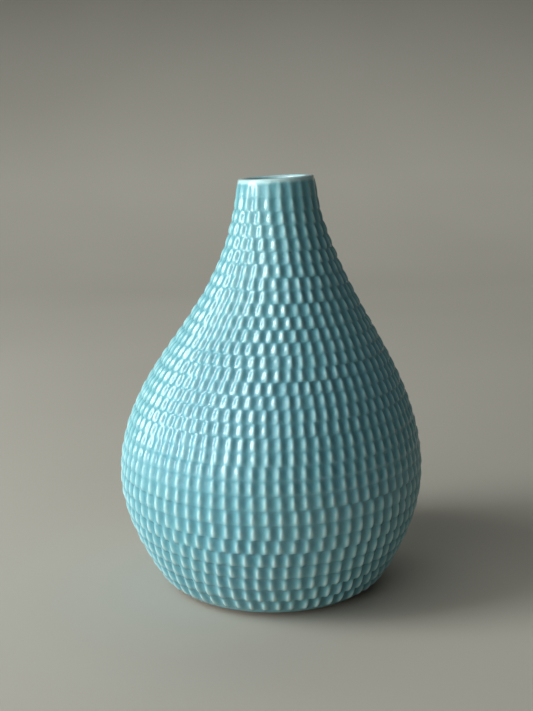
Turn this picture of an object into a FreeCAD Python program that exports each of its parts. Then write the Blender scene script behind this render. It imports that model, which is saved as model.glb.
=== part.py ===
# A hand-thrown ceramic bud vase: a round belly that narrows to a slightly crooked neck.
# It is one fired stoneware pot, with a coat of glaze outside and a liner of glaze inside.
# Millimetres, +Z up. The origin is under the middle of the belly, on the surface it stands on.

import os

import FreeCAD
import Part
import Sketcher
from FreeCAD import Placement, Rotation, Vector

# Rings up the glazed outside, from the edge above the foot to the lip.
# name: (height of the ring, its radius, how far its centre stands towards +X)
RINGS = {
    "foot_edge": (1.8, 42.3, 0.5),
    "heel": (6.0, 45.9, 0.45),
    "low_belly": (14.0, 50.5, 0.35),
    "under_belly": (28.0, 56.5, 0.1),
    "belly": (46.0, 59.6, 0.0),
    "upper_belly": (64.0, 57.1, 0.25),
    "shoulder": (82.0, 49.9, 1.2),
    "slope": (100.0, 39.2, 2.7),
    "neck_base": (118.0, 28.3, 3.75),
    "neck": (136.0, 20.1, 3.65),
    "throat": (150.0, 16.1, 3.2),
    "lip": (160.7, 14.6, 2.9),
}
# The rings that the hollow follows: it is closed by a floor below and by a bore above.
HOLLOW_RINGS = ("low_belly", "under_belly", "belly", "upper_belly", "shoulder", "slope",
                "neck_base", "neck")

# name: (value, what it measures)
SIZES = {
    "glaze_thickness": (0.5, "the coat outside and the liner inside"),
    "wall_thickness": (4.2, "the clay wall, measured level"),
    "floor_height": (8.0, "top of the liner on the bottom of the hollow"),
    "floor_radius": (34.0, "flat part of that bottom"),
    "mouth_radius": (11.0, "straight bore through the lip"),
    "lip_tilt": (3.0, "degrees, the +X side is higher"),
    "lip_round": (1.5, "rounding of both edges of the glazed lip"),
    "foot_radius": (38.8, "outside of the foot ring"),
    "foot_width": (5.6, "width of the ring that touches the ground"),
    "foot_recess": (3.6, "depth of the hollow inside the foot ring"),
    "foot_round": (0.6, "worn edges of the foot ring"),
}

SHEET = "Sizes"
OVERRUN = 8  # how far a cutting shape runs past what it cuts
NEAR_GROUND = 0.01  # an edge below this height lies on the ground
TILT_AXIS = Vector(0, -1, 0)  # turning about it raises the +X side


def fill_sheet(doc):
    """Puts every driving size in a cell with an alias."""
    cells = {}
    for ring, (height, radius, centre) in RINGS.items():
        cells[ring + "_height"] = (height, "height of a ring")
        cells[ring + "_radius"] = (radius, "its radius")
        cells[ring + "_centre"] = (centre, "its centre along X")
    cells.update(SIZES)
    sheet = doc.addObject("Spreadsheet::Sheet", SHEET)
    for row, (name, (value, note)) in enumerate(cells.items(), start=1):
        sheet.set(f"A{row}", name)
        sheet.set(f"B{row}", str(value))
        sheet.set(f"C{row}", note)
        sheet.setAlias(f"B{row}", name)
    doc.recompute()


def cell(name):
    return f"{SHEET}.{name}"


def new_body(doc, name):
    body = doc.addObject("PartDesign::Body", name)
    body.Label = name
    return body


def ground_plane(body):
    for feature in body.Origin.OriginFeatures:
        if feature.Role == "XY_Plane":
            return feature
    raise ValueError(f"{body.Label} has no ground plane")


def circles(body, name, height, centre, radii, tilt=None):
    """A sketch of circles around one centre, level, or tilted up towards +X."""
    sketch = body.newObject("Sketcher::SketchObject", name)
    sketch.AttachmentSupport = [(ground_plane(body), "")]
    sketch.MapMode = "FlatFace"
    sketch.AttachmentOffset = Placement(Vector(), Rotation(TILT_AXIS, 0))
    sketch.setExpression("AttachmentOffset.Base.x", centre)
    sketch.setExpression("AttachmentOffset.Base.z", height)
    sketch.setExpression("AttachmentOffset.Rotation.Angle", tilt or "0 deg")
    for number, radius in enumerate(radii, start=1):
        circle = sketch.addGeometry(Part.Circle(Vector(), Vector(0, 0, 1), number), False)
        sketch.addConstraint(Sketcher.Constraint("Coincident", circle, 3, -1, 1))
        constraint = sketch.addConstraint(Sketcher.Constraint("Radius", circle, number))
        sketch.setExpression(f"Constraints[{constraint}]", radius)
    return sketch


def ring_sketches(body, inset):
    """The rings of the outside from foot to lip, each smaller by an inset."""
    sketches = []
    for ring in RINGS:
        height = cell(ring + "_height")
        tilt = None
        if ring == "lip":
            height += f" - ({inset})"
            tilt = cell("lip_tilt") + " * 1 deg"
        radius = f"{cell(ring + '_radius')} - ({inset})"
        name = f"{body.Label}_{ring}"
        sketches.append(circles(body, name, height, cell(ring + "_centre"), [radius], tilt))
    return sketches


def hollow_sketches(body, inset, drop):
    """The rings of the hollow from its flat floor to the bore of the mouth."""
    floor = f"{cell('floor_height')} - ({drop})"
    sketches = [circles(body, f"{body.Label}_floor", floor, cell("low_belly_centre"),
                        [cell("floor_radius")])]
    for ring in HOLLOW_RINGS:
        radius = f"{cell(ring + '_radius')} - ({inset})"
        sketches.append(circles(body, f"{body.Label}_hollow_{ring}", cell(ring + "_height"),
                                cell(ring + "_centre"), [radius]))
    bore = f"{cell('mouth_radius')} + ({drop})"
    sketches.append(circles(body, f"{body.Label}_hollow_throat", cell("throat_height"),
                            cell("lip_centre"), [bore]))
    return sketches


def loft(body, kind, sketches):
    feature = body.newObject(f"PartDesign::{kind}Loft", f"{body.Label}_{kind.lower()}_loft")
    feature.Profile = sketches[0]
    feature.Sections = sketches[1:]
    return feature


def cut_bore(body, drop):
    """Cuts the straight bore of the mouth, from the throat up through the lip."""
    radius = f"{cell('mouth_radius')} + ({drop})"
    sketch = circles(body, f"{body.Label}_bore", cell("throat_height"), cell("lip_centre"), [radius])
    pocket = body.newObject("PartDesign::Pocket", f"{body.Label}_mouth")
    pocket.Profile = sketch
    pocket.setExpression("Length", f"{cell('lip_height')} - {cell('throat_height')} + {OVERRUN}")
    pocket.Reversed = True


def foot_inside():
    return f"{cell('foot_radius')} - {cell('foot_width')}"


def cut_foot_recess(body):
    """Cuts the shallow hollow inside the foot ring, up from the ground."""
    sketch = circles(body, f"{body.Label}_recess", "0", cell("foot_edge_centre"), [foot_inside()])
    pocket = body.newObject("PartDesign::Pocket", f"{body.Label}_foot_recess")
    pocket.Profile = sketch
    pocket.setExpression("Length", cell("foot_recess"))
    pocket.Reversed = True


def lip_edges(shape):
    """The outer and inner edges of the lip: the two highest closed edges."""
    closed = [(edge.BoundBox.ZMax, f"Edge{number}")
              for number, edge in enumerate(shape.Edges, start=1) if edge.isClosed()]
    return [name for height, name in sorted(closed)[-2:]]


def foot_edges(shape):
    """The two edges of the foot ring's flat face."""
    return [f"Edge{number}" for number, edge in enumerate(shape.Edges, start=1)
            if edge.BoundBox.ZMax < NEAR_GROUND]


def fillet(doc, body, name, edges, radius):
    doc.recompute()
    base = body.Tip
    feature = body.newObject("PartDesign::Fillet", f"{body.Label}_{name}")
    feature.Base = (base, edges(base.Shape))
    feature.setExpression("Radius", radius)
    return feature


def make_clay_body(doc):
    """The stoneware pot: belly, neck and lip, hollow, standing on a trimmed foot ring."""
    glaze = cell("glaze_thickness")
    body = new_body(doc, "clay_body")
    loft(body, "Additive", ring_sketches(body, glaze))
    loft(body, "Subtractive", hollow_sketches(body, f"{cell('wall_thickness')} + {glaze}", glaze))
    cut_bore(body, glaze)
    ring = body.newObject("PartDesign::Pad", "foot_ring")
    ring.Profile = circles(body, "foot_ring_circles", "0", cell("foot_edge_centre"),
                           [cell("foot_radius"), foot_inside()])
    ring.setExpression("Length", f"({cell('foot_edge_height')} + {cell('foot_recess')}) / 2")
    cut_foot_recess(body)
    fillet(doc, body, "worn_foot", foot_edges, cell("foot_round"))
    fillet(doc, body, "lip_round", lip_edges, f"{cell('lip_round')} - {glaze}")
    return body


def make_glazed_outline(doc):
    """The whole vase as one solid, clay and glaze together, down to the edge above the foot."""
    glaze = cell("glaze_thickness")
    body = new_body(doc, "glazed_outline")
    loft(body, "Additive", ring_sketches(body, "0"))
    loft(body, "Subtractive", hollow_sketches(body, f"{cell('wall_thickness')} + 2 * {glaze}", "0"))
    cut_bore(body, "0")
    cut_foot_recess(body)
    fillet(doc, body, "lip_round", lip_edges, cell("lip_round"))
    return body


def make_divider(doc):
    """A solid whose side runs up the middle of the clay wall and out through the lip."""
    body = new_body(doc, "glaze_divider")
    inset = f"{cell('wall_thickness')} / 2 + {cell('glaze_thickness')}"
    sketches = ring_sketches(body, inset)
    lip = sketches.pop()
    body.removeObject(lip)
    doc.removeObject(lip.Name)
    radius = f"({cell('lip_radius')} + {cell('mouth_radius')}) / 2"
    over_lip = f"{cell('lip_height')} + {OVERRUN}"
    for name, height in (("lip_gap", cell("lip_height")), ("over_lip", over_lip)):
        sketches.append(circles(body, name, height, cell("lip_centre"), [radius]))
    loft(body, "Additive", sketches)
    return body


def boolean(doc, kind, name, base, tool):
    result = doc.addObject(f"Part::{kind}", name)
    result.Label = name
    result.Base = base
    result.Tool = tool
    return result


def check(doc, parts):
    for item in doc.Objects:
        if "Invalid" in item.State or "Error" in item.State:
            raise RuntimeError(f"{item.Label} failed: {item.State}")
    for part in parts:
        shape = part.Shape
        if shape.isNull() or not shape.isValid() or not shape.Solids:
            raise RuntimeError(f"{part.Label} has no valid solid")
        box = shape.optimalBoundingBox(False, False)
        print(f"{part.Label}: {len(shape.Solids)} solid, {shape.Volume:.0f} mm3,",
              f"x {box.XMin:.2f} to {box.XMax:.2f}, y {box.YMin:.2f} to {box.YMax:.2f},",
              f"z {box.ZMin:.2f} to {box.ZMax:.2f}")


def main():
    doc = FreeCAD.newDocument("BudVase")
    fill_sheet(doc)
    clay = make_clay_body(doc)
    outline = make_glazed_outline(doc)
    divider = make_divider(doc)
    doc.recompute()
    coat = boolean(doc, "Cut", "all_glaze", outline, clay)
    outer = boolean(doc, "Cut", "outer_glaze", coat, divider)
    inner = boolean(doc, "Common", "inner_glaze", coat, divider)
    doc.recompute()
    parts = (clay, outer, inner)
    check(doc, parts)
    os.makedirs("parts", exist_ok=True)
    for part in parts:
        part.Shape.exportStep(os.path.join("parts", part.Label + ".step"))


main()
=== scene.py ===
import math
import random

import bpy
import numpy as np
from mathutils import Matrix, Vector


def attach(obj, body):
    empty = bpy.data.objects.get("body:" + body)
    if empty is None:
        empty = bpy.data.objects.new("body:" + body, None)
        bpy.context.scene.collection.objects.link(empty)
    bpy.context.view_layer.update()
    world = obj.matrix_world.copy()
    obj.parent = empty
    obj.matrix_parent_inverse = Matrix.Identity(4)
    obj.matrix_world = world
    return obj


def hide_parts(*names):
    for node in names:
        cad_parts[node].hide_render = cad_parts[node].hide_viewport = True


# A small ceramic bud vase with carved rows of scoops under a blue-green glaze.
# The vase is in millimetres until its points become vertices. The stage, the lights and the
# lengths inside materials are in metres.
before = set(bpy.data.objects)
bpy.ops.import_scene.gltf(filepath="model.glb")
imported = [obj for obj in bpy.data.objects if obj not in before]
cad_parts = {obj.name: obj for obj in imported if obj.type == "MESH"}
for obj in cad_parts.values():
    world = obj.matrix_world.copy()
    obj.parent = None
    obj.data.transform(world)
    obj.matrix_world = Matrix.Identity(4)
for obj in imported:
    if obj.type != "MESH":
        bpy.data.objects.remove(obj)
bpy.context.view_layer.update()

MM = 0.001
TAU = 2 * math.pi

# ---------------------------------------------------------------- sizes of the pot

# Rings up the glazed outside, as in the CAD model: (height, radius, centre towards +X).
RINGS = (
    (1.8, 42.3, 0.5),
    (6.0, 45.9, 0.45),
    (14.0, 50.5, 0.35),
    (28.0, 56.5, 0.1),
    (46.0, 59.6, 0.0),
    (64.0, 57.1, 0.25),
    (82.0, 49.9, 1.2),
    (100.0, 39.2, 2.7),
    (118.0, 28.3, 3.75),
    (136.0, 20.1, 3.65),
    (150.0, 16.1, 3.2),
    (160.7, 14.6, 2.9),
)
GLAZE = 0.5
WALL = 4.2
COAT_BACK = GLAZE + 0.9   # how far inside the pot's plain side the outer coat has its back
CLAY_FRONT = GLAZE + 1.6  # and the clay starts, hidden behind that coat

MOUTH_RADIUS = 11.0
MOUTH_REACH = 24.0        # from the lip down to where the bore has widened into the hollow
LIP_TILT = math.radians(3.0)
LIP_TILT_REACH = 11.0     # how far down the neck the tilt is felt
LIP_OUTSIDE = 1.0         # rounding of the lip's outer edge
LIP_INSIDE = 1.4          # and of its inner edge
LIP_DEPTH = 3.0           # how far down inside the mouth the outer coat reaches
LIP_MARK = 0.6            # relief mark of the lip, where the glaze runs thin and pale
DEEP_MARK = -0.55         # relief mark where the glaze pools deepest and darkest

FLOOR_TOP = 8.0
FLOOR_EDGE = 36.0         # radius of the flat floor of the hollow
FLOOR_START = 8.0         # from the foot up the side to where the hollow turns into its floor
LINER_BACK = 0.4          # how far behind the hollow's skin the liner ends
CLAY_BACK = 0.7           # and the clay starts

FOOT_RADIUS = 38.8
FOOT_WIDTH = 5.6
FOOT_RECESS = 3.6
THROWING_RING = 0.06      # height of the faint rings in the recess
THROWING_PITCH = 2.4      # radians of those rings in a millimetre

# How many points go around each kind of plain ring.
LIP_POINTS = 144
FOOT_POINTS = 240
INSIDE_POINTS = 96
CLAY_POINTS = 192

# ---------------------------------------------------------------- sizes of the carving

# Rows of scoops side by side, with a bead of clay left standing between neighbours. A scoop is
# deepest in its upper half and runs out shallower. A bead is pinched at its top and full at its bottom.
ROWS = 32
FIRST_ROW = 2.0           # from the lip down to the first row, along the surface
ROW_PITCH = 5.0
WIDENING_ROW = 21         # from here down every row is a little taller than the last
ROW_WIDENING = 0.13
PLAIN_STRIP = 0.35        # from the last row down to the plain edge above the foot
BEAD_PITCH_HIGH = 4.4     # from bead to bead around the pot, above its widest ring
BEAD_PITCH_LOW = 5.05     # and below it
MOST_BEADS = 77           # no row has more
SCOOP_DEPTH = 0.42
BEAD_HEIGHT = 0.47
BEAD_NARROW = 2.4         # sharpness of a bead at its top
BEAD_FULL = 1.2           # and at its bottom
OVERHANG = 0.07           # how far the bottom of a row stands out over the top of the next
LOW_OVERHANG = 0.034      # how much that grows with every row below the widening row
LOW_CARVING = 0.04        # how much stronger, as a share, the carving gets with each of those rows
FLUTE_ROWS = 2            # the top rows run into each other as flutes, and fade out below the lip
FLUTE_TAPER = 0.6         # how much a flute swells and thins along a row, against other beads
TOP_STRENGTH = 0.7        # strength of the first row
STRENGTH_GAIN = 0.1       # and how much each row gains on it, up to full strength
TOP_FADE = 0.55           # how strong the first row is at its own top
SEAM = math.radians(21)   # where the beads of most rows stand in one line
# Rows whose beads stand out of that line: {row: share of the pitch}.
SHIFTED_ROWS = {7: 0.5, 8: 0.5, 11: 0.45, 12: 0.5, 13: 0.5, 14: 0.5, 24: 0.33, 25: 0.33, 26: 0.3, 30: 0.5}
# Unevenness of the hand: random shifts as shares of the pitch, random sizes as shares of the size.
ROW_JITTER = 0.06
BEAD_JITTER = 0.035
SIZE_JITTER = 0.1
# Waves of a row's edge around the pot: (how many, how high).
EDGE_WAVES = ((2, 0.08), (5, 0.05))
# Where the points stand from one bead to the next, and from the top of a row to its bottom.
ACROSS_BEADS = (0.0, 0.06, 0.13, 0.22, 0.36, 0.5, 0.64, 0.78, 0.87, 0.94)
DOWN_ROW = (0.05, 0.26, 0.48, 0.72, 0.95)


# ---------------------------------------------------------------- light and camera

LIGHT_COLOUR = (1.0, 0.99, 0.97)
ROOM_COLOUR = (0.78, 0.76, 0.74, 1)
ROOM_STRENGTH = 0.08
CAMERA_PLACE = (-1.4, -411.9, 180.4)
CAMERA_LENS = 54.08       # for a sensor 36 wide
CAMERA_DOWN = 12.24       # degrees below level
CAMERA_ROLL = -0.65       # degrees


# ---------------------------------------------------------------- shape of the pot

def natural_spline(knots, values):
    """The cubic spline through the values, as a function, with no bend at its two ends."""
    knots = np.asarray(knots, float)
    values = np.asarray(values, float)
    gaps = np.diff(knots)
    count = len(knots)
    system = np.eye(count)
    right = np.zeros(count)
    for i in range(1, count - 1):
        system[i, i - 1] = gaps[i - 1]
        system[i, i] = 2 * (gaps[i - 1] + gaps[i])
        system[i, i + 1] = gaps[i]
        slope_above = (values[i + 1] - values[i]) / gaps[i]
        slope_below = (values[i] - values[i - 1]) / gaps[i - 1]
        right[i] = 6 * (slope_above - slope_below)
    bends = np.linalg.solve(system, right)

    def spline(at):
        at = np.asarray(at, float)
        i = np.clip(np.searchsorted(knots, at) - 1, 0, count - 2)
        gap = gaps[i]
        low = (knots[i + 1] - at) / gap
        high = 1 - low
        curve = (low ** 3 - low) * bends[i] + (high ** 3 - high) * bends[i + 1]
        return low * values[i] + high * values[i + 1] + curve * gap ** 2 / 6

    return spline


class Side:
    """The side of the pot: height, radius and centre at a distance down from the lip."""

    def __init__(self, rings):
        heights, radii, centres = np.array(rings[::-1]).T
        chords = np.hypot(np.diff(heights), np.diff(radii))
        knots = np.concatenate(([0.0], np.cumsum(chords)))
        fine = np.linspace(0, knots[-1], 4000)
        z = natural_spline(knots, heights)(fine)
        r = natural_spline(knots, radii)(fine)
        c = natural_spline(knots, centres)(fine)
        along = np.concatenate(([0.0], np.cumsum(np.hypot(np.diff(z), np.diff(r)))))
        self.along, self.z, self.r, self.c = along, z, r, c
        self.slope_r = np.gradient(r, along)
        self.slope_z = np.gradient(z, along)
        self.length = along[-1]

    def at(self, s):
        """Height, radius, centre, and the outward normal as (radial part, vertical part)."""
        curves = (self.z, self.r, self.c, self.slope_r, self.slope_z)
        z, r, c, slope_r, slope_z = [np.interp(s, self.along, curve) for curve in curves]
        size = np.hypot(slope_r, slope_z)
        return z, r, c, -slope_z / size, slope_r / size


SIDE = Side(RINGS)


def tilt_lip(points, s):
    """Raises the +X side of the lip, less and less down the neck."""
    share = np.clip(1 - np.asarray(s) / LIP_TILT_REACH, 0, 1)
    share = share * share * (3 - 2 * share)
    lip_centre = RINGS[-1][2]
    points[..., 2] += math.tan(LIP_TILT) * (points[..., 0] - lip_centre) * share
    return points


def even_turns(count):
    """Azimuths spaced evenly around the pot."""
    return TAU * np.arange(count) / count


def level_points(centre, radius, turns, height):
    """Points of a level circle. Azimuth 0 faces -Y and grows towards +X."""
    x = centre + radius * np.sin(turns)
    y = -radius * np.cos(turns)
    return np.stack((x, y, np.full(len(turns), height)), axis=-1)


def on_side(s, azimuth, out):
    """Points of the pot's side, moved outwards. Azimuth 0 faces -Y and grows towards +X."""
    z, r, c, radial, up = SIDE.at(s)
    reach = r + out * radial
    x = c + reach * np.sin(azimuth)
    y = -reach * np.cos(azimuth)
    height = z + out * up
    x, y, height = np.broadcast_arrays(x, y, height)
    return tilt_lip(np.stack((x, y, height), axis=-1), s)


# ---------------------------------------------------------------- mesh helpers

class Shell:
    """Collects rings of points and the faces between them."""

    def __init__(self):
        self.points = []
        self.marks = []
        self.faces = []
        self.count = 0

    def ring(self, points, mark=0.0):
        """Adds a closed ring and returns the numbers of its vertices."""
        self.points.append(points)
        self.marks.append(np.broadcast_to(np.asarray(mark, float), (len(points),)))
        numbers = list(range(self.count, self.count + len(points)))
        self.count += len(points)
        return numbers

    def band(self, upper, lower):
        """Quads between two rings with the same number of vertices."""
        n = len(upper)
        for i in range(n):
            j = (i + 1) % n
            self.faces.append((upper[i], lower[i], lower[j], upper[j]))

    def zip(self, upper, upper_turn, lower, lower_turn):
        """Triangles between two rings whose vertices stand at different azimuths."""
        n, m = len(upper), len(lower)
        i = 0
        j = int(np.argmin(np.abs((lower_turn - upper_turn[0] + math.pi) % TAU - math.pi)))
        start = j
        turn_i = upper_turn[0]
        turn_j = turn_i + (lower_turn[j] - turn_i + math.pi) % TAU - math.pi
        done_i = done_j = 0
        while done_i < n or done_j < m:
            next_i = turn_i + (upper_turn[(i + 1) % n] - upper_turn[i]) % TAU
            next_j = turn_j + (lower_turn[(j + 1) % m] - lower_turn[j]) % TAU
            if done_j == m or (done_i < n and next_i <= next_j):
                self.faces.append((upper[i], lower[j], upper[(i + 1) % n]))
                i = (i + 1) % n
                turn_i = next_i
                done_i += 1
            else:
                self.faces.append((upper[i], lower[j], lower[(j + 1) % m]))
                j = (j + 1) % m
                turn_j = next_j
                done_j += 1
        assert j == start

    def disc(self, ring, centre, up):
        """Closes a ring with a fan."""
        middle = self.ring(np.array([centre], float))[0]
        n = len(ring)
        for i in range(n):
            j = (i + 1) % n
            face = (ring[i], ring[j], middle) if up else (ring[j], ring[i], middle)
            self.faces.append(face)

    def make(self, name, mark_name=None):
        """Makes the object. The marks of the points are kept under the given name."""
        mesh = bpy.data.meshes.new(name)
        points = np.concatenate(self.points) * MM
        mesh.from_pydata(points.tolist(), [], self.faces)
        if mark_name:
            layer = mesh.attributes.new(mark_name, "FLOAT", "POINT")
            layer.data.foreach_set("value", np.concatenate(self.marks).astype(np.float32))
        mesh.shade_smooth()
        mesh.update()
        piece = bpy.data.objects.new(name, mesh)
        bpy.context.scene.collection.objects.link(piece)
        return piece


# ---------------------------------------------------------------- the carving

def row_edges():
    """Distances down from the lip of the top of every row, and the bottom of the last."""
    edges = [FIRST_ROW]
    for row in range(ROWS):
        extra = ROW_WIDENING * max(0, row - WIDENING_ROW + 1)
        edges.append(edges[-1] + ROW_PITCH + extra)
    return edges


def beads_in_row(middle):
    """How many beads go around a row: an even pitch, up to a largest number."""
    z, r = SIDE.at(middle)[:2]
    widest = max(ring[1] for ring in RINGS)
    belly = next(ring[0] for ring in RINGS if ring[1] == widest)
    pitch = BEAD_PITCH_HIGH if z > belly else BEAD_PITCH_LOW
    return min(MOST_BEADS, round(TAU * float(r) / pitch))


class Row:
    """One row of the carving: where its beads stand, and the size of each bead and scoop."""

    def __init__(self, rng, number, top, bottom, above):
        self.number = number
        self.top = top
        self.bottom = bottom
        fluted = number < FLUTE_ROWS
        count = len(above.beads) if fluted and above else beads_in_row((top + bottom) / 2)
        pitch = TAU / count
        shift = SHIFTED_ROWS.get(number, 0.0) + rng.gauss(0, ROW_JITTER)
        beads = np.array([SEAM + (n + shift + rng.gauss(0, BEAD_JITTER)) * pitch for n in range(count)])
        if fluted and above:
            beads = above.beads
        self.beads = beads
        gaps = (np.roll(beads, -1) - beads) % TAU
        across = np.array(ACROSS_BEADS)
        self.turns = (beads[:, None] + gaps[:, None] * across).ravel()
        self.across = np.tile(across, count)
        heights = np.array([rng.gauss(1, SIZE_JITTER) for n in range(count)])
        depths = np.array([rng.gauss(1, SIZE_JITTER) for n in range(count)])
        following = np.roll(heights, -1)
        self.heights = (heights[:, None] * (1 - across) + following[:, None] * across).ravel()
        self.depths = np.repeat(depths, len(across))
        self.strength = min(1.0, TOP_STRENGTH + STRENGTH_GAIN * number)
        self.taper = FLUTE_TAPER if fluted else 1.0
        below = max(0, number - WIDENING_ROW)
        self.overhang = OVERHANG * self.taper + LOW_OVERHANG * below
        self.carving = 1 + LOW_CARVING * below
        self.wave_starts = [rng.uniform(0, TAU) for wave in EDGE_WAVES]

    def level(self, v):
        """Distances down from the lip at a share of the row's height, a little wavy."""
        wave = sum(high * np.sin(many * self.turns + start)
                   for (many, high), start in zip(EDGE_WAVES, self.wave_starts))
        return self.top + v * (self.bottom - self.top) + wave

    def relief(self, v):
        """How far the carved surface stands out from the pot's plain side."""
        ridge = 0.5 + 0.5 * np.cos(TAU * self.across)
        bead = ridge ** (BEAD_NARROW + (BEAD_FULL - BEAD_NARROW) * v)
        out = BEAD_HEIGHT * self.heights * bead * (1 - self.taper * (1 - bead_swell(v)))
        out -= SCOOP_DEPTH * self.depths * (1 - ridge) * (1 - self.taper * (1 - scoop_stroke(v)))
        fade = TOP_FADE + (1 - TOP_FADE) * v if self.number == 0 else 1.0
        return (out * self.carving + self.overhang * (v - 0.5)) * self.strength * fade


def bead_swell(v):
    """Height of a bead along its length, as a share of its highest."""
    peak = 0.58
    rise = 0.15 + 0.85 * math.sin(0.5 * math.pi * min(v / peak, 1))
    return rise * (1 - 0.75 * (max(v - peak, 0) / (1 - peak)) ** 2)


def scoop_stroke(v):
    """Depth of a scoop along its length, as a share of its deepest."""
    deepest = 0.36
    start = 0.75 + 0.25 * math.sin(0.5 * math.pi * min(v / deepest, 1))
    return start * (1 - 0.4 * (max(v - deepest, 0) / (1 - deepest)) ** 2)


def make_rows(rng):
    """Every row from the lip down. A fluted row takes its beads from the row above."""
    edges = row_edges()
    rows = []
    for number, (top, bottom) in enumerate(zip(edges, edges[1:])):
        rows.append(Row(rng, number, top, bottom, rows[-1] if rows else None))
    return rows


def lip_section():
    """The lip in section, as (radius, height): up the mouth, and over both rounded edges."""
    height, radius = RINGS[-1][:2]
    section = [(MOUTH_RADIUS, height - LIP_DEPTH)]
    corners = ((MOUTH_RADIUS + LIP_INSIDE, LIP_INSIDE, 180), (radius - LIP_OUTSIDE, LIP_OUTSIDE, 90))
    steps = 5
    for middle, rounding, first in corners:
        for step in range(steps + 1):
            angle = math.radians(first - 90 * step / steps)
            section.append((middle + rounding * math.cos(angle),
                            height - rounding + rounding * math.sin(angle)))
    return section


def lip_rings(shell, turns):
    """The lip, from inside the mouth over its flat top to the outside of the neck."""
    rings = []
    for radius, height in lip_section():
        points = level_points(RINGS[-1][2], radius, turns, height)
        rings.append(shell.ring(tilt_lip(points, 0.0), LIP_MARK))
    return rings


def foot_rings(shell, turns, bottom):
    """The plain edge of the coat below the carving, as far as its underside."""
    start = bottom + PLAIN_STRIP
    end = SIDE.length
    edge = ((start, -0.1), ((start + end) / 2, 0.0), (end - 0.3, 0.0), (end, -0.15), (end, -GLAZE))
    return [shell.ring(on_side(s, turns, out), 0.0) for s, out in edge]


def back_rings(shell, turns):
    """The back of the coat, from the foot up to the neck."""
    return [shell.ring(on_side(s, turns, -COAT_BACK), 0.0) for s in np.linspace(SIDE.length - 0.8, 4.0, 30)]


def band_all(shell, rings):
    """Joins rings with the same number of points, in order."""
    for ring, following in zip(rings, rings[1:]):
        shell.band(ring, following)


def make_outer_glaze():
    """The glaze coat: over the lip, down the carved side and back up inside itself."""
    rng = random.Random(7)
    shell = Shell()
    lip_turns = even_turns(LIP_POINTS)
    lip = lip_rings(shell, lip_turns)
    band_all(shell, lip)
    last_ring, last_turns = lip[-1], lip_turns
    rows = make_rows(rng)
    for row in rows:
        for v in DOWN_ROW:
            out = row.relief(v)
            ring = shell.ring(on_side(row.level(v), row.turns, out), out)
            if v == DOWN_ROW[0]:
                shell.zip(last_ring, last_turns, ring, row.turns)
            else:
                shell.band(last_ring, ring)
            last_ring, last_turns = ring, row.turns
    foot_turns = even_turns(FOOT_POINTS)
    foot = foot_rings(shell, foot_turns, rows[-1].bottom)
    shell.zip(last_ring, last_turns, foot[0], foot_turns)
    band_all(shell, foot)
    back_turns = even_turns(INSIDE_POINTS)
    back = back_rings(shell, back_turns)
    shell.zip(foot[-1], foot_turns, back[0], back_turns)
    band_all(shell, back)
    shell.zip(back[-1], back_turns, lip[0], lip_turns)
    return shell.make("glaze_coat", "relief")


# ---------------------------------------------------------------- liner and clay

def level_ring(shell, count, centre, radius, height, s=SIDE.length):
    """A plain ring, which tilts with the lip where it is near the mouth."""
    points = level_points(centre, radius, even_turns(count), height)
    return shell.ring(tilt_lip(points, s))


def hollow_rings(shell, count, behind):
    """Rings from the mouth down the hollow to the edge of its floor, some way behind its skin."""
    rings = []
    end = SIDE.length - FLOOR_START
    for s in np.concatenate((np.linspace(2.0, 9.0, 6), np.linspace(10.5, end, 70))):
        z, r, c = SIDE.at(s)[:3]
        blend = np.clip(1 - s / MOUTH_REACH, 0, 1)
        radius = (r - WALL - 2 * GLAZE) * (1 - blend) + MOUTH_RADIUS * blend + behind
        rings.append(level_ring(shell, count, c, radius, z, s))
    z, r, c = SIDE.at(end)[:3]
    corner = r - WALL - 2 * GLAZE + behind
    floor = FLOOR_TOP - behind
    steps = 6
    for step in range(1, steps + 1):
        angle = 0.5 * math.pi * step / steps
        radius = corner - (corner - FLOOR_EDGE) * (1 - math.cos(angle))
        rings.append(level_ring(shell, count, c, radius, floor + (z - floor) * (1 - math.sin(angle))))
    return rings


def floor_centre(behind):
    """The middle of the hollow's floor, some way behind its skin."""
    c = SIDE.at(SIDE.length - FLOOR_START)[2]
    return (float(c), 0, FLOOR_TOP - behind)


def close_shell(shell, rings, first_centre, last_centre):
    """Skins the rings in order. A disc that looks up closes the first, one that looks down the last."""
    band_all(shell, rings)
    shell.disc(rings[0], first_centre, True)
    shell.disc(rings[-1], last_centre, False)


def make_liner():
    """The liner glaze: a thin closed shell along the hollow, from the mouth to the floor."""
    shell = Shell()
    front = hollow_rings(shell, INSIDE_POINTS, 0.0)
    back = hollow_rings(shell, INSIDE_POINTS, LINER_BACK)
    close_shell(shell, front[::-1] + back, floor_centre(0.0), floor_centre(LINER_BACK))
    return shell.make("liner_glaze")


def foot_section():
    """The bare foot in section, as (radius, height): under the coat's edge, the ring, and the recess."""
    inside = FOOT_RADIUS - FOOT_WIDTH
    section = [
        (41.75, 1.82), (40.2, 1.8), (39.4, 1.72), (FOOT_RADIUS, 1.4), (FOOT_RADIUS, 0.6),
        (FOOT_RADIUS - 0.2, 0.2), (FOOT_RADIUS - 0.6, 0.0), (inside + 0.6, 0.0), (inside + 0.2, 0.2),
        (inside, 0.6), (inside, 2.8), (inside - 0.3, 3.3), (inside - 1.0, FOOT_RECESS),
    ]
    for radius in np.arange(31.5, 1.0, -0.5):
        section.append((radius, FOOT_RECESS + THROWING_RING * math.sin(radius * THROWING_PITCH)))
    return section


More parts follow.
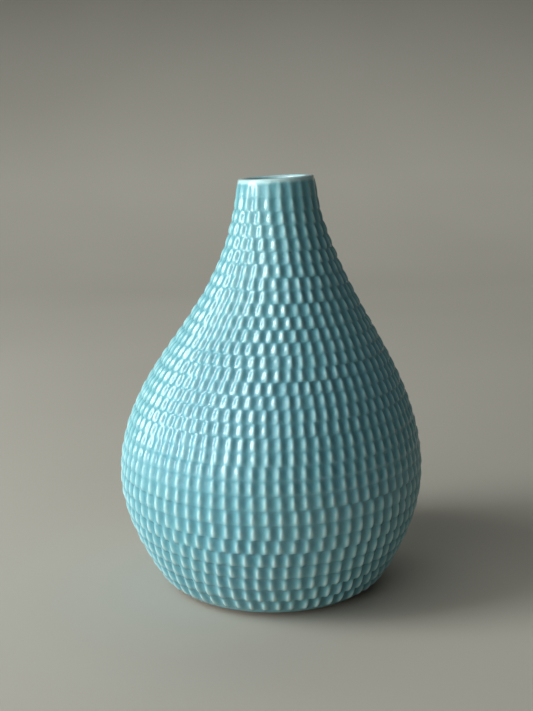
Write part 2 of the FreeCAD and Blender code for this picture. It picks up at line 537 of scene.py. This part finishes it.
def make_clay():
    """The bare clay: the wall between the glazes, the foot ring and the recess under the vase."""
    shell = Shell()
    centre = RINGS[0][2]
    turns = even_turns(CLAY_POINTS)
    rings = hollow_rings(shell, CLAY_POINTS, CLAY_BACK)[::-1]
    for s in np.linspace(3.0, SIDE.length - 0.2, 60):
        rings.append(shell.ring(on_side(s, turns, -CLAY_FRONT)))
    for radius, height in foot_section():
        rings.append(level_ring(shell, CLAY_POINTS, centre, radius, height))
    close_shell(shell, rings, floor_centre(CLAY_BACK), (centre, 0, FOOT_RECESS))
    return shell.make("clay_pot")


# ---------------------------------------------------------------- materials

class Nodes:
    """Adds nodes to a material and links them by short calls."""

    def __init__(self, name):
        self.material = bpy.data.materials.new(name)
        self.material.use_nodes = True
        self.tree = self.material.node_tree
        self.shader = self.tree.nodes["Principled BSDF"]
        self.place = self.tree.nodes.new("ShaderNodeTexCoord").outputs["Object"]

    def add(self, kind, settings=None, **inputs):
        """Adds a node. An input's name has underscores where the socket's name has spaces."""
        node = self.tree.nodes.new("ShaderNode" + kind)
        for name, value in (settings or {}).items():
            setattr(node, name, value)
        for name, value in inputs.items():
            self.fill(node.inputs[name.replace("_", " ")], value)
        return node

    def fill(self, socket, value):
        """Links another node's output to a socket, or sets the socket to a constant."""
        if isinstance(value, bpy.types.NodeSocket):
            self.tree.links.new(value, socket)
        else:
            socket.default_value = value

    def noise(self, scale, detail=2.0, roughness=0.5):
        node = self.add("TexNoise", Vector=self.place, Scale=scale, Detail=detail, Roughness=roughness)
        return node.outputs["Fac"]

    def remap(self, value, low, high, to_low=0.0, to_high=1.0):
        node = self.add("MapRange", Value=value, From_Min=low, From_Max=high, To_Min=to_low, To_Max=to_high)
        return node.outputs["Result"]

    def calculate(self, operation, first, second):
        node = self.add("Math", {"operation": operation})
        self.fill(node.inputs[0], first)
        self.fill(node.inputs[1], second)
        return node.outputs["Value"]

    def blend(self, factor, first, second, kind="MIX"):
        node = self.add("Mix", {"data_type": "RGBA", "blend_type": kind})
        # The node keeps a set of sockets for each data type: these are the ones for colours.
        for socket, value in ((0, factor), (6, first), (7, second)):
            self.fill(node.inputs[socket], value)
        return node.outputs[2]

    def ramp(self, value, stops):
        node = self.add("ValToRGB", Fac=value)
        elements = node.color_ramp.elements
        while len(elements) < len(stops):
            elements.new(0.5)
        for element, (position, colour) in zip(elements, stops):
            element.position = position
            element.color = (*colour, 1)
        return node.outputs["Color"]

    def specks(self, scale, size, share):
        """Scattered dots: a mask that is 1 in a dot. Only some of the texture's cells hold one."""
        node = self.add("TexVoronoi", Vector=self.place, Scale=scale)
        near = self.remap(node.outputs["Distance"], size, size * 0.6)
        chance = self.add("SeparateColor", Color=node.outputs["Color"]).outputs["Red"]
        chosen = self.calculate("GREATER_THAN", chance, 1 - share)
        return self.calculate("MULTIPLY", near, chosen)

    def bump(self, height, distance, strength=1.0, under=None):
        node = self.add("Bump", Height=height, Distance=distance, Strength=strength)
        if under:
            self.fill(node.inputs["Normal"], under)
        return node.outputs["Normal"]

    def finish(self, colour, roughness, normal, **fixed):
        """Fills the shader's sockets. The fixed ones are the same all over the surface."""
        self.fill(self.shader.inputs["Base Color"], colour)
        self.fill(self.shader.inputs["Roughness"], roughness)
        self.fill(self.shader.inputs["Normal"], normal)
        for name, value in fixed.items():
            self.shader.inputs[name.replace("_", " ")].default_value = value
        return self.material


def glaze_material():
    """Blue-green glaze: pooled and dark in the scoops, thin and pale on the beads, whitish on the lip."""
    nodes = Nodes("blue_green_glaze")
    relief = nodes.add("Attribute", {"attribute_name": "relief"}).outputs["Fac"]
    flow = nodes.noise(260, 3)
    standing_out = nodes.remap(relief, DEEP_MARK, LIP_MARK)
    unevenness = nodes.remap(flow, 0.3, 0.7, -0.06, 0.06)
    colour = nodes.ramp(nodes.calculate("ADD", standing_out, unevenness), (
        (0.0, (0.082, 0.258, 0.315)),
        (0.35, (0.128, 0.345, 0.407)),
        (0.62, (0.200, 0.438, 0.490)),
        (0.84, (0.345, 0.582, 0.615)),
        (1.0, (0.425, 0.630, 0.650)),
    ))
    clouds = nodes.ramp(nodes.noise(16, 3), ((0.3, (0.90, 0.96, 1.0)), (0.7, (1.0, 1.0, 0.95))))
    colour = nodes.blend(0.8, colour, clouds, "MULTIPLY")
    mottle = nodes.ramp(nodes.noise(620, 4, 0.7), ((0.3, (0.90, 0.93, 0.94)), (0.7, (1.0, 1.0, 1.0))))
    colour = nodes.blend(0.7, colour, mottle, "MULTIPLY")
    pinholes = nodes.specks(260, 0.085, 0.006)
    colour = nodes.blend(pinholes, colour, (0.035, 0.045, 0.04, 1))
    pale_specks = nodes.specks(230, 0.07, 0.012)
    colour = nodes.blend(pale_specks, colour, (0.62, 0.78, 0.76, 1))
    roughness = nodes.remap(nodes.noise(140, 3), 0.3, 0.7, 0.13, 0.21)
    normal = nodes.bump(flow, 0.00012, 0.5)
    normal = nodes.bump(nodes.noise(520, 2), 0.00022, 0.6, normal)
    normal = nodes.bump(nodes.noise(1500, 2), 0.00002, 0.6, normal)
    normal = nodes.bump(nodes.calculate("SUBTRACT", pale_specks, pinholes), 0.00015, 1.0, normal)
    return nodes.finish(colour, roughness, normal, Coat_Weight=0.3, Coat_Roughness=0.07)


def liner_material():
    """Thin pale liner glaze with clay freckles showing through."""
    nodes = Nodes("pale_liner_glaze")
    colour = nodes.ramp(nodes.noise(60, 4), ((0.3, (0.26, 0.45, 0.45)), (0.7, (0.42, 0.60, 0.58))))
    freckles = nodes.specks(420, 0.16, 0.10)
    colour = nodes.blend(nodes.calculate("MULTIPLY", freckles, 0.5), colour, (0.24, 0.24, 0.18, 1))
    roughness = nodes.remap(nodes.noise(140, 3), 0.3, 0.7, 0.12, 0.24)
    normal = nodes.bump(nodes.noise(300, 3), 0.00012, 0.5)
    return nodes.finish(colour, roughness, normal, Coat_Weight=0.3, Coat_Roughness=0.08)


def clay_material():
    """Bare fired stoneware: buff, with dark and pale grog and a dry, sandy surface."""
    nodes = Nodes("bare_clay")
    colour = nodes.ramp(nodes.noise(45, 4), ((0.3, (0.24, 0.182, 0.128)), (0.7, (0.34, 0.265, 0.19))))
    colour = nodes.blend(nodes.specks(700, 0.28, 0.10), colour, (0.08, 0.06, 0.045, 1))
    colour = nodes.blend(nodes.specks(520, 0.25, 0.12), colour, (0.50, 0.45, 0.37, 1))
    height = nodes.add("SeparateXYZ", Vector=nodes.place).outputs["Z"]
    worn = nodes.remap(height, 0.0004, 0.0)
    colour = nodes.blend(nodes.calculate("MULTIPLY", worn, 0.35), colour, (0.15, 0.13, 0.11, 1))
    roughness = nodes.remap(worn, 0.0, 1.0, 0.9, 0.62)
    normal = nodes.bump(nodes.noise(1300, 4, 0.7), 0.00012, 0.9)
    return nodes.finish(colour, roughness, normal, Specular_IOR_Level=0.35)


# ---------------------------------------------------------------- studio

def stage_material():
    """Pale matt studio paper, with painted shade that darkens the backdrop towards its top."""
    nodes = Nodes("studio_paper")
    colour = nodes.ramp(nodes.noise(3, 2), ((0.3, (0.365, 0.36, 0.318)), (0.7, (0.39, 0.385, 0.342))))
    # Painted shade: the paper's colour is darkened with height, from full at 0.1 m to 0.41 of it at 0.5 m.
    height = nodes.add("SeparateXYZ", Vector=nodes.place).outputs["Z"]
    painted_shade = nodes.ramp(nodes.remap(height, 0.1, 0.5), ((0.0, (1, 1, 1)), (1.0, (0.41, 0.41, 0.41))))
    colour = nodes.blend(1.0, colour, painted_shade, "MULTIPLY")
    normal = nodes.bump(nodes.noise(900, 3), 0.0001, 0.3)
    return nodes.finish(colour, 0.9, normal, Specular_IOR_Level=0.2)


def make_stage():
    """A floor that bends up into a backdrop far behind the vase."""
    mesh = bpy.data.meshes.new("studio_floor")
    half_width, front, back, top, bend = 3.0, -2.5, 1.9, 2.6, 1.1
    steps = 12
    path = [(front, 0.0)]
    for step in range(steps + 1):
        angle = 0.5 * math.pi * step / steps
        path.append((back - bend + bend * math.sin(angle), bend - bend * math.cos(angle)))
    path.append((back, top))
    points = [(x, y, z) for y, z in path for x in (-half_width, half_width)]
    faces = [(2 * i, 2 * i + 1, 2 * i + 3, 2 * i + 2) for i in range(len(path) - 1)]
    mesh.from_pydata(points, [], faces)
    mesh.shade_smooth()
    floor = bpy.data.objects.new("studio_floor", mesh)
    bpy.context.scene.collection.objects.link(floor)
    floor.data.materials.append(stage_material())


def add_area_light(name, aim, azimuth, elevation, distance, size, power, mirrored):
    """A soft light that faces a point from an azimuth measured like the vase's own.

    A light that is not mirrored stands for light thrown back by the room, with no edge to reflect.
    """
    turn = math.radians(azimuth)
    rise = math.radians(elevation)
    towards = Vector((math.sin(turn) * math.cos(rise), -math.cos(turn) * math.cos(rise), math.sin(rise)))
    light = bpy.data.lights.new(name, "AREA")
    light.shape = "RECTANGLE"
    light.size, light.size_y = size
    light.energy = power
    light.color = LIGHT_COLOUR
    lamp = bpy.data.objects.new(name, light)
    lamp.location = Vector(aim) + towards * distance
    lamp.rotation_euler = towards.to_track_quat("Z", "Y").to_euler()
    lamp.visible_camera = False
    lamp.visible_glossy = mirrored
    bpy.context.scene.collection.objects.link(lamp)


def make_lights():
    """A window at the left, the soft room around it, light off the floor, and light on the backdrop."""
    vase = (0, 0, 0.08)
    backdrop = (0.15, 1.2, 0.05)
    add_area_light("window_light", vase, azimuth=-76, elevation=28, distance=1.1,
                   size=(0.4, 1.0), power=12, mirrored=True)
    add_area_light("soft_light", vase, azimuth=-54, elevation=26, distance=1.2,
                   size=(1.8, 1.3), power=8, mirrored=True)
    add_area_light("low_light", vase, azimuth=-66, elevation=4, distance=1.1,
                   size=(1.4, 0.3), power=9.5, mirrored=False)
    add_area_light("backdrop_light", backdrop, azimuth=0, elevation=82, distance=1.3,
                   size=(2.4, 0.6), power=10.5, mirrored=False)
    world = bpy.data.worlds.new("studio_world")
    bpy.context.scene.world = world
    world.use_nodes = True
    background = world.node_tree.nodes["Background"]
    background.inputs["Color"].default_value = ROOM_COLOUR
    background.inputs["Strength"].default_value = ROOM_STRENGTH


def make_camera():
    """The photograph's camera: in front of the vase, looking a little down, and turned very slightly."""
    camera = bpy.data.cameras.new("photo_camera")
    camera.sensor_width = 36
    camera.lens = CAMERA_LENS
    camera.clip_start = 0.01
    eye = bpy.data.objects.new("photo_camera", camera)
    bpy.context.scene.collection.objects.link(eye)
    pitch = Matrix.Rotation(math.radians(90 - CAMERA_DOWN), 4, "X")
    roll = Matrix.Rotation(math.radians(CAMERA_ROLL), 4, "Z")
    eye.matrix_world = Matrix.Translation(Vector(CAMERA_PLACE) * MM) @ pitch @ roll
    bpy.context.scene.camera = eye


def main():
    coat = make_outer_glaze()
    coat.data.materials.append(glaze_material())
    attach(coat, "root")
    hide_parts("outer_glaze")
    liner = make_liner()
    liner.data.materials.append(liner_material())
    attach(liner, "root")
    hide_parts("inner_glaze")
    clay = make_clay()
    clay.data.materials.append(clay_material())
    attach(clay, "root")
    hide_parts("clay_body")
    make_stage()
    make_lights()
    make_camera()
    bpy.context.scene.view_settings.view_transform = "Standard"


main()
